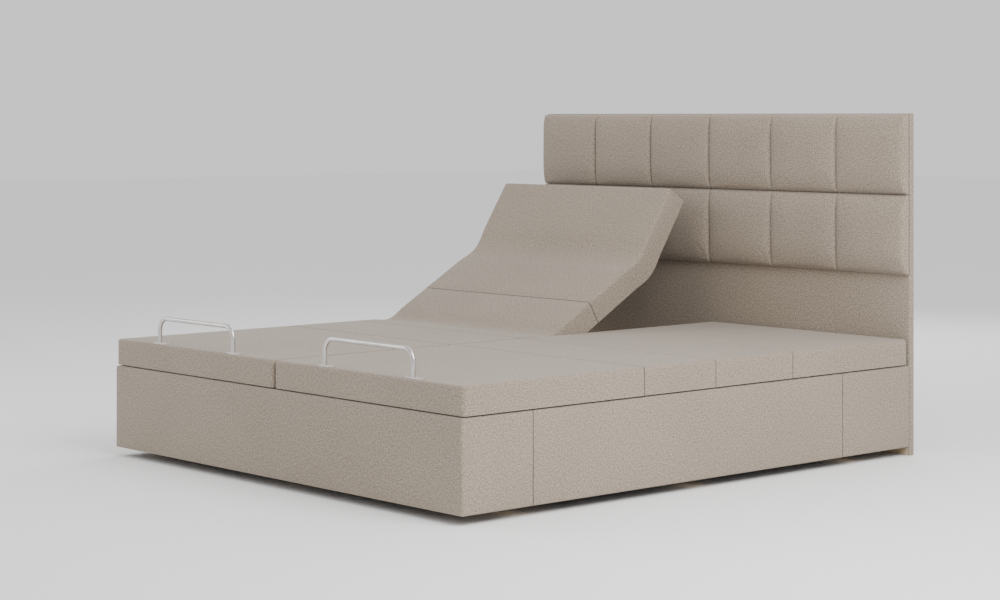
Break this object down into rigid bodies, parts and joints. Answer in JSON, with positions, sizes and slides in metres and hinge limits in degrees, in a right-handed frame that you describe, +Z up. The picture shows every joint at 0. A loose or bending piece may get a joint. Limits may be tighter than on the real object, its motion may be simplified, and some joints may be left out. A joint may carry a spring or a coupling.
{
  "type": "adjustable bed base",
  "caption": "Upholstered split adjustable bed base with a tall panelled headboard; each half raises its back, head and legs on an electric lift frame.",
  "frame": {"origin": "on the floor under the middle of the whole object, headboard included", "axes": "+X across the bed towards the half stored flat, +Y from foot to headboard, +Z up"},
  "size_m": [1.8, 2.028, 1.16],
  "materials": {
    "taupe_upholstery": "flecked woven melange in warm grey-beige",
    "pale_timber": "sawn pale softwood",
    "black_nylon": "moulded black nylon",
    "white_nylon": "turned white nylon",
    "charcoal_plastic": "fine-textured charcoal housing",
    "bright_steel": "zinc-plated",
    "retainer_finish": "satin nickel",
    "black_steel": "satin black powder coat"
  },
  "bodies": {
    "base": {"bearing_plates": "black_steel", "bottom_boards": "pale_timber", "centre_beam": "pale_timber", "control_box": "charcoal_plastic", "cross_tubes": "black_steel", "foot_panel": "taupe_upholstery", "glides": "black_nylon", "head_end_panel": "pale_timber", "headboard_board": "taupe_upholstery", "headboard_bolts": "bright_steel", "headboard_pads": "taupe_upholstery", "left_back_actuator": "charcoal_plastic", "left_leg_actuator": "charcoal_plastic", "left_seat_deck": "taupe_upholstery", "left_side_panel_foot": "taupe_upholstery", "left_side_panel_head": "taupe_upholstery", "left_side_panel_middle": "taupe_upholstery", "right_back_actuator": "charcoal_plastic", "right_leg_actuator": "charcoal_plastic", "right_seat_deck": "taupe_upholstery", "right_side_panel_foot": "taupe_upholstery", "right_side_panel_head": "taupe_upholstery", "right_side_panel_middle": "taupe_upholstery", "seat_rails": "black_steel"},
    "right_back": {"right_back_deck": "taupe_upholstery", "right_back_rails": "black_steel", "right_head_actuator": "charcoal_plastic"},
    "right_head": {"right_head_deck": "taupe_upholstery", "right_head_rails": "black_steel"},
    "right_head_rod": {"right_head_rod": "bright_steel"},
    "right_thigh": {"right_thigh_deck": "taupe_upholstery", "right_thigh_rails": "black_steel"},
    "right_calf": {"right_calf_deck": "taupe_upholstery", "right_calf_rails": "black_steel", "right_mattress_retainer": "retainer_finish"},
    "right_calf_links": {"right_calf_links": "black_steel"},
    "right_back_lift": {"right_back_lift": "black_steel"},
    "right_back_rollers": {"right_back_rollers": "white_nylon"},
    "right_back_rod": {"right_back_rod": "bright_steel"},
    "right_leg_lift": {"right_leg_lift": "black_steel"},
    "right_leg_rollers": {"right_leg_rollers": "white_nylon"},
    "right_leg_rod": {"right_leg_rod": "bright_steel"},
    "left_back": {"left_back_deck": "taupe_upholstery", "left_back_rails": "black_steel", "left_head_actuator": "charcoal_plastic"},
    "left_head": {"left_head_deck": "taupe_upholstery", "left_head_rails": "black_steel"},
    "left_head_rod": {"left_head_rod": "bright_steel"},
    "left_thigh": {"left_thigh_deck": "taupe_upholstery", "left_thigh_rails": "black_steel"},
    "left_calf": {"left_calf_deck": "taupe_upholstery", "left_calf_rails": "black_steel", "left_mattress_retainer": "retainer_finish"},
    "left_calf_links": {"left_calf_links": "black_steel"},
    "left_back_lift": {"left_back_lift": "black_steel"},
    "left_back_rollers": {"left_back_rollers": "white_nylon"},
    "left_back_rod": {"left_back_rod": "bright_steel"},
    "left_leg_lift": {"left_leg_lift": "black_steel"},
    "left_leg_rollers": {"left_leg_rollers": "white_nylon"},
    "left_leg_rod": {"left_leg_rod": "bright_steel"}
  },
  "joints": [
    {"name": "right_back_hinge", "type": "hinge", "parent": "base", "child": "right_back", "pos_m": [0, 0.176, 0.383], "axis": [1, 0, 0], "range_deg": [0, 60]},
    {"name": "right_head_hinge", "type": "hinge", "parent": "right_back", "child": "right_head", "pos_m": [0, 0.676, 0.383], "axis": [1, 0, 0], "range_deg": [0, 30]},
    {"name": "right_head_rod_slide", "type": "slide", "parent": "right_back", "child": "right_head_rod", "axis": [0, 1, 0], "range_m": [0, 0.02568]},
    {"name": "right_thigh_hinge", "type": "hinge", "parent": "base", "child": "right_thigh", "pos_m": [0, -0.124, 0.383], "axis": [-1, 0, 0], "range_deg": [0, 40]},
    {"name": "right_knee_hinge", "type": "hinge", "parent": "right_thigh", "child": "right_calf", "pos_m": [0, -0.454, 0.321], "axis": [1, 0, 0], "range_deg": [0, 40]},
    {"name": "right_calf_link_pivot", "type": "hinge", "parent": "base", "child": "right_calf_links", "pos_m": [0, -0.434, 0.297], "axis": [-1, 0, 0], "range_deg": [0, 40]},
    {"name": "right_back_lift_turn", "type": "hinge", "parent": "base", "child": "right_back_lift", "pos_m": [0, -0.004, 0.293], "axis": [1, 0, 0], "range_deg": [0, 33.61]},
    {"name": "right_back_rollers_turn", "type": "hinge", "parent": "right_back_lift", "child": "right_back_rollers", "pos_m": [0, 0.44518, 0.32008], "axis": [1, 0, 0], "continuous": true},
    {"name": "right_back_rod_slide", "type": "slide", "parent": "base", "child": "right_back_rod", "axis": [0, 1, 0], "range_m": [0, 0.0661]},
    {"name": "right_leg_lift_turn", "type": "hinge", "parent": "base", "child": "right_leg_lift", "pos_m": [0, -0.049, 0.318], "axis": [-1, 0, 0], "range_deg": [0, 27.81]},
    {"name": "right_leg_rollers_turn", "type": "hinge", "parent": "right_leg_lift", "child": "right_leg_rollers", "pos_m": [0, -0.34899, 0.32051], "axis": [1, 0, 0], "continuous": true},
    {"name": "right_leg_rod_slide", "type": "slide", "parent": "base", "child": "right_leg_rod", "axis": [0, -1, 0], "range_m": [0, 0.05474]},
    {"name": "left_back_hinge", "type": "hinge", "parent": "base", "child": "left_back", "pos_m": [0, 0.176, 0.383], "axis": [1, 0, 0], "range_deg": [-30, 30]},
    {"name": "left_head_hinge", "type": "hinge", "parent": "left_back", "child": "left_head", "pos_m": [0, 0.60901, 0.633], "axis": [1, 0, 0], "range_deg": [-27, 3]},
    {"name": "left_head_rod_slide", "type": "slide", "parent": "left_back", "child": "left_head_rod", "axis": [0, 0.866, 0.5], "range_m": [-0.02315, 0.00284]},
    {"name": "left_thigh_hinge", "type": "hinge", "parent": "base", "child": "left_thigh", "pos_m": [0, -0.124, 0.383], "axis": [-1, 0, 0], "range_deg": [0, 40]},
    {"name": "left_knee_hinge", "type": "hinge", "parent": "left_thigh", "child": "left_calf", "pos_m": [0, -0.454, 0.321], "axis": [1, 0, 0], "range_deg": [0, 40]},
    {"name": "left_calf_link_pivot", "type": "hinge", "parent": "base", "child": "left_calf_links", "pos_m": [0, -0.434, 0.297], "axis": [-1, 0, 0], "range_deg": [0, 40]},
    {"name": "left_back_lift_turn", "type": "hinge", "parent": "base", "child": "left_back_lift", "pos_m": [0, -0.004, 0.293], "axis": [1, 0, 0], "range_deg": [-16.8, 16.81]},
    {"name": "left_back_rollers_turn", "type": "hinge", "parent": "left_back_lift", "child": "left_back_rollers", "pos_m": [0, 0.41819, 0.44875], "axis": [1, 0, 0], "continuous": true},
    {"name": "left_back_rod_slide", "type": "slide", "parent": "base", "child": "left_back_rod", "axis": [0, 1, 0], "range_m": [-0.0332, 0.0332]},
    {"name": "left_leg_lift_turn", "type": "hinge", "parent": "base", "child": "left_leg_lift", "pos_m": [0, -0.049, 0.318], "axis": [-1, 0, 0], "range_deg": [0, 27.81]},
    {"name": "left_leg_rollers_turn", "type": "hinge", "parent": "left_leg_lift", "child": "left_leg_rollers", "pos_m": [0, -0.34899, 0.32051], "axis": [1, 0, 0], "continuous": true},
    {"name": "left_leg_rod_slide", "type": "slide", "parent": "base", "child": "left_leg_rod", "axis": [0, -1, 0], "range_m": [0, 0.05474]}
  ],
  "couplings": [
    {"joint": "right_back_lift_turn", "follows": "right_back_hinge", "ratio": 0.56},
    {"joint": "right_back_rod_slide", "follows": "right_back_hinge", "m_per_rad": 0.062832},
    {"joint": "right_head_rod_slide", "follows": "right_head_hinge", "m_per_rad": 0.04848},
    {"joint": "right_knee_hinge", "follows": "right_thigh_hinge", "ratio": 1},
    {"joint": "right_calf_link_pivot", "follows": "right_thigh_hinge", "ratio": 1},
    {"joint": "right_leg_lift_turn", "follows": "right_thigh_hinge", "ratio": 0.695},
    {"joint": "right_leg_rod_slide", "follows": "right_thigh_hinge", "m_per_rad": 0.077979},
    {"joint": "left_back_lift_turn", "follows": "left_back_hinge", "ratio": 0.56},
    {"joint": "left_back_rod_slide", "follows": "left_back_hinge", "m_per_rad": 0.062832},
    {"joint": "left_head_rod_slide", "follows": "left_head_hinge", "m_per_rad": 0.04848},
    {"joint": "left_knee_hinge", "follows": "left_thigh_hinge", "ratio": 1},
    {"joint": "left_calf_link_pivot", "follows": "left_thigh_hinge", "ratio": 1},
    {"joint": "left_leg_lift_turn", "follows": "left_thigh_hinge", "ratio": 0.695},
    {"joint": "left_leg_rod_slide", "follows": "left_thigh_hinge", "m_per_rad": 0.077979}
  ]
}
